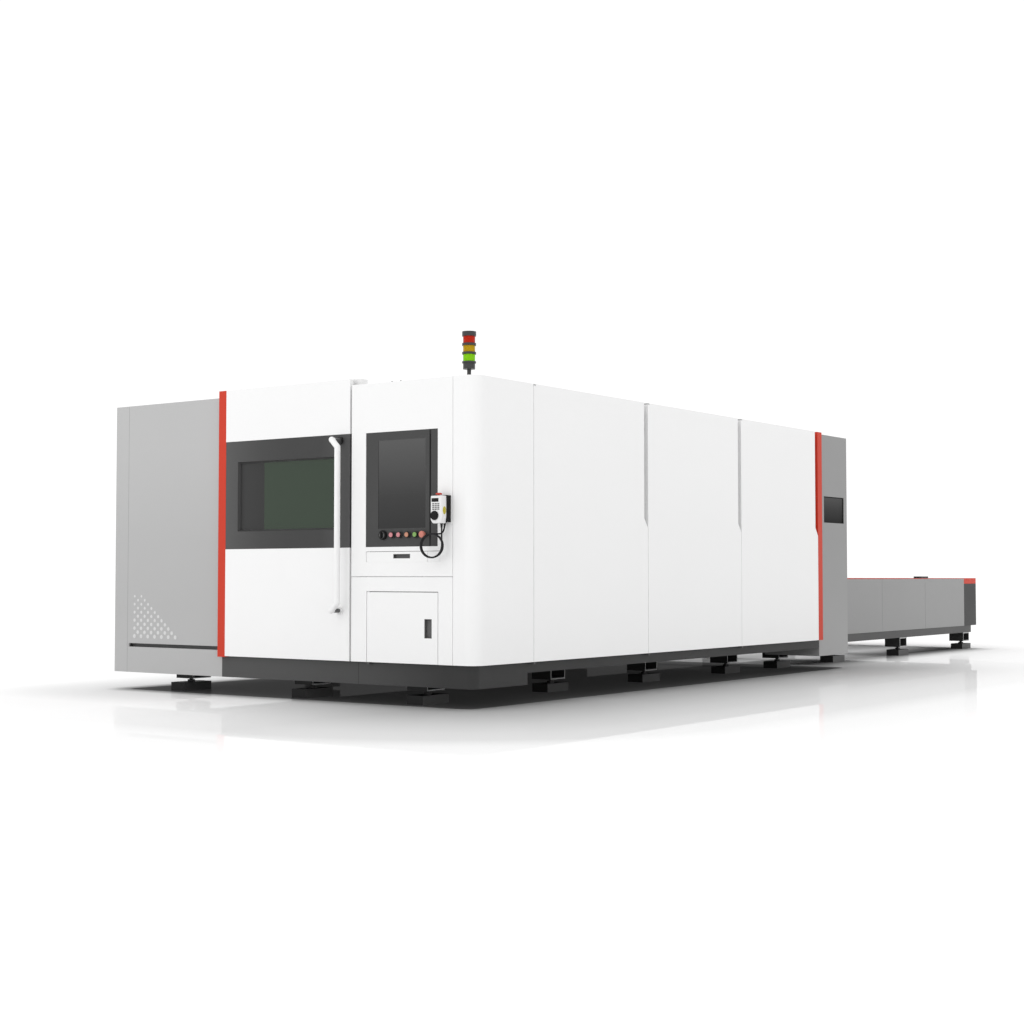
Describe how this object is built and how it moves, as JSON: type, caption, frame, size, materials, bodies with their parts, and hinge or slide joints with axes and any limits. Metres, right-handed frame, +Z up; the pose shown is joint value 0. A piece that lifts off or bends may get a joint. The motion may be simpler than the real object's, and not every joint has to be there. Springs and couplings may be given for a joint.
{
  "type": "fiber laser cutting machine",
  "caption": "Enclosed fiber laser cutting machine with sliding front door, operator console, hinged side doors, signal tower and exchange table with sliding pallets.",
  "frame": {"origin": "on the floor, below the middle of the machine's bounding box", "axes": "+X to the operator's right, +Y towards the exchange table, +Z up"},
  "size_m": [3.64, 11.335, 2.567],
  "materials": {
    "levelling_feet": "matt anthracite",
    "foot_brackets": "matt anthracite",
    "bed_frame": "matt anthracite",
    "plinth": "matt anthracite",
    "frame_tubes": "matt light grey",
    "roof_plate": "satin white powder coat",
    "door_guides": "matt anthracite",
    "corner_shell": "satin white powder coat",
    "console_panels": "satin white powder coat",
    "console_housings": "matt grey",
    "operating_panel": "matt black",
    "screen": "black display",
    "button_one": "translucent red",
    "button_two": "translucent red",
    "button_three": "translucent orange red",
    "button_four": "translucent green",
    "emergency_stop": "red",
    "key_switch": "matt black",
    "keyboard_drawer": "satin white powder coat",
    "drawer_grip": "matt black",
    "lower_door": "satin white powder coat",
    "lower_door_grip": "matt black",
    "pendant_body": "satin white",
    "pendant_holder": "matt black",
    "pendant_wheel": "matt black",
    "pendant_stop": "red",
    "enabling_button": "yellow",
    "pendant_coil": "matt black",
    "pendant_lead": "matt black",
    "pendant_tail": "matt black",
    "door_leaf": "satin white powder coat",
    "door_band": "satin black-grey",
    "door_glass": "green laser safety glass",
    "door_red_strip": "satin red",
    "door_hangers": "brushed",
    "door_handle": "satin white powder coat",
    "grey_front": "satin grey powder coat",
    "side_door_1": "satin white powder coat",
    "side_door_2": "satin white powder coat",
    "side_door_3": "satin white powder coat",
    "fixed_side_panels": "satin white powder coat",
    "rear_red_strips": "satin red",
    "rear_cabinet": "satin grey powder coat",
    "rear_window": "dark tinted",
    "lift_gate": "brushed",
    "table_side_panels": "satin grey powder coat",
    "table_red_trim": "satin red",
    "table_end_cover": "matt anthracite",
    "bed_rails": "brushed",
    "pallet_upper_frame": "matt dark grey",
    "pallet_upper_slats": "mill finish",
    "pallet_lower_frame": "matt dark grey",
    "pallet_lower_slats": "mill finish",
    "gantry_bridge": "matt grey",
    "head_carriage": "anodised",
    "cutting_head": "anodised",
    "tower_stand": "matt black",
    "lens_green": "translucent",
    "lens_amber": "translucent",
    "lens_red": "translucent"
  },
  "bodies": {
    "machine": {"levelling_feet": "levelling_feet", "foot_brackets": "foot_brackets", "bed_frame": "bed_frame", "plinth": "plinth", "frame_tubes": "frame_tubes", "roof_plate": "roof_plate", "door_guides": "door_guides", "corner_shell": "corner_shell", "console_panels": "console_panels", "console_housings": "console_housings", "operating_panel": "operating_panel", "screen": "screen", "pendant_body": "pendant_body", "pendant_holder": "pendant_holder", "pendant_coil": "pendant_coil", "pendant_lead": "pendant_lead", "pendant_tail": "pendant_tail", "grey_front": "grey_front", "fixed_side_panels": "fixed_side_panels", "rear_red_strips": "rear_red_strips", "rear_cabinet": "rear_cabinet", "rear_window": "rear_window", "table_side_panels": "table_side_panels", "table_red_trim": "table_red_trim", "table_end_cover": "table_end_cover", "bed_rails": "bed_rails", "tower_stand": "tower_stand", "lens_green": "lens_green", "lens_amber": "lens_amber", "lens_red": "lens_red"},
    "sliding_door": {"door_leaf": "door_leaf", "door_band": "door_band", "door_glass": "door_glass", "door_red_strip": "door_red_strip", "door_hangers": "door_hangers", "door_handle": "door_handle"},
    "side_door_front": {"side_door_1": "side_door_1"},
    "side_door_middle": {"side_door_2": "side_door_2"},
    "side_door_rear": {"side_door_3": "side_door_3"},
    "lower_door": {"lower_door": "lower_door", "lower_door_grip": "lower_door_grip"},
    "keyboard_drawer": {"keyboard_drawer": "keyboard_drawer", "drawer_grip": "drawer_grip"},
    "key_switch": {"key_switch": "key_switch"},
    "button_one": {"button_one": "button_one"},
    "button_two": {"button_two": "button_two"},
    "button_three": {"button_three": "button_three"},
    "button_four": {"button_four": "button_four"},
    "emergency_stop": {"emergency_stop": "emergency_stop"},
    "pendant_wheel": {"pendant_wheel": "pendant_wheel"},
    "pendant_stop": {"pendant_stop": "pendant_stop"},
    "enabling_button": {"enabling_button": "enabling_button"},
    "lift_gate": {"lift_gate": "lift_gate"},
    "upper_pallet": {"pallet_upper_frame": "pallet_upper_frame", "pallet_upper_slats": "pallet_upper_slats"},
    "lower_pallet": {"pallet_lower_frame": "pallet_lower_frame", "pallet_lower_slats": "pallet_lower_slats"},
    "gantry": {"gantry_bridge": "gantry_bridge"},
    "carriage": {"head_carriage": "head_carriage"},
    "head": {"cutting_head": "cutting_head"}
  },
  "joints": [
    {"name": "sliding_door_travel", "type": "slide", "parent": "machine", "child": "sliding_door", "axis": [-1, 0, 0], "range_m": [0, 0.99]},
    {"name": "side_door_front_hinge", "type": "hinge", "parent": "machine", "child": "side_door_front", "pos_m": [1.812, -4.865, 1.2], "axis": [0, 0, -1], "range_deg": [0, 95]},
    {"name": "side_door_middle_hinge", "type": "hinge", "parent": "machine", "child": "side_door_middle", "pos_m": [1.812, -3.31, 1.2], "axis": [0, 0, -1], "range_deg": [0, 95]},
    {"name": "side_door_rear_hinge", "type": "hinge", "parent": "machine", "child": "side_door_rear", "pos_m": [1.812, -1.755, 1.2], "axis": [0, 0, -1], "range_deg": [0, 95]},
    {"name": "lower_door_hinge", "type": "hinge", "parent": "machine", "child": "lower_door", "pos_m": [0.877, -5.5445, 0.55], "axis": [0, 0, -1], "range_deg": [0, 100]},
    {"name": "keyboard_drawer_travel", "type": "slide", "parent": "machine", "child": "keyboard_drawer", "axis": [0, -1, 0], "range_m": [0, 0.3]},
    {"name": "key_switch_turn", "type": "hinge", "parent": "machine", "child": "key_switch", "pos_m": [1.016, -5.5525, 1.183], "axis": [0, 1, 0], "range_deg": [-45, 45]},
    {"name": "button_one_press", "type": "slide", "parent": "machine", "child": "button_one", "axis": [0, 1, 0], "range_m": [0, 0.005], "stiffness_N_per_m": 600, "springref_m": -0.002},
    {"name": "button_two_press", "type": "slide", "parent": "machine", "child": "button_two", "axis": [0, 1, 0], "range_m": [0, 0.005], "stiffness_N_per_m": 600, "springref_m": -0.002},
    {"name": "button_three_press", "type": "slide", "parent": "machine", "child": "button_three", "axis": [0, 1, 0], "range_m": [0, 0.005], "stiffness_N_per_m": 600, "springref_m": -0.002},
    {"name": "button_four_press", "type": "slide", "parent": "machine", "child": "button_four", "axis": [0, 1, 0], "range_m": [0, 0.005], "stiffness_N_per_m": 600, "springref_m": -0.002},
    {"name": "emergency_stop_press", "type": "slide", "parent": "machine", "child": "emergency_stop", "axis": [0, 1, 0], "range_m": [0, 0.005], "stiffness_N_per_m": 1200, "springref_m": -0.002},
    {"name": "pendant_wheel_turn", "type": "hinge", "parent": "machine", "child": "pendant_wheel", "pos_m": [1.549, -5.6475, 1.305], "axis": [0, 1, 0], "continuous": true},
    {"name": "pendant_stop_press", "type": "slide", "parent": "machine", "child": "pendant_stop", "axis": [0, 0, -1], "range_m": [0, 0.004], "stiffness_N_per_m": 1500, "springref_m": -0.003},
    {"name": "enabling_button_press", "type": "slide", "parent": "machine", "child": "enabling_button", "axis": [-1, 0, 0], "range_m": [0, 0.003], "stiffness_N_per_m": 600, "springref_m": -0.002},
    {"name": "lift_gate_travel", "type": "slide", "parent": "machine", "child": "lift_gate", "axis": [0, 0, -1], "range_m": [0, 0.54]},
    {"name": "upper_pallet_exchange", "type": "slide", "parent": "machine", "child": "upper_pallet", "axis": [0, -1, 0], "range_m": [0, 5.08]},
    {"name": "lower_pallet_exchange", "type": "slide", "parent": "machine", "child": "lower_pallet", "axis": [0, 1, 0], "range_m": [0, 5.08]},
    {"name": "gantry_travel", "type": "slide", "parent": "machine", "child": "gantry", "axis": [0, 1, 0], "range_m": [0, 3.75]},
    {"name": "carriage_travel", "type": "slide", "parent": "gantry", "child": "carriage", "axis": [1, 0, 0], "range_m": [-0.9, 0.9]},
    {"name": "head_lift", "type": "slide", "parent": "carriage", "child": "head", "axis": [0, 0, -1], "range_m": [0, 0.08]}
  ],
  "couplings": [
    {"joint": "lower_pallet_exchange", "follows": "upper_pallet_exchange", "ratio": 1}
  ]
}
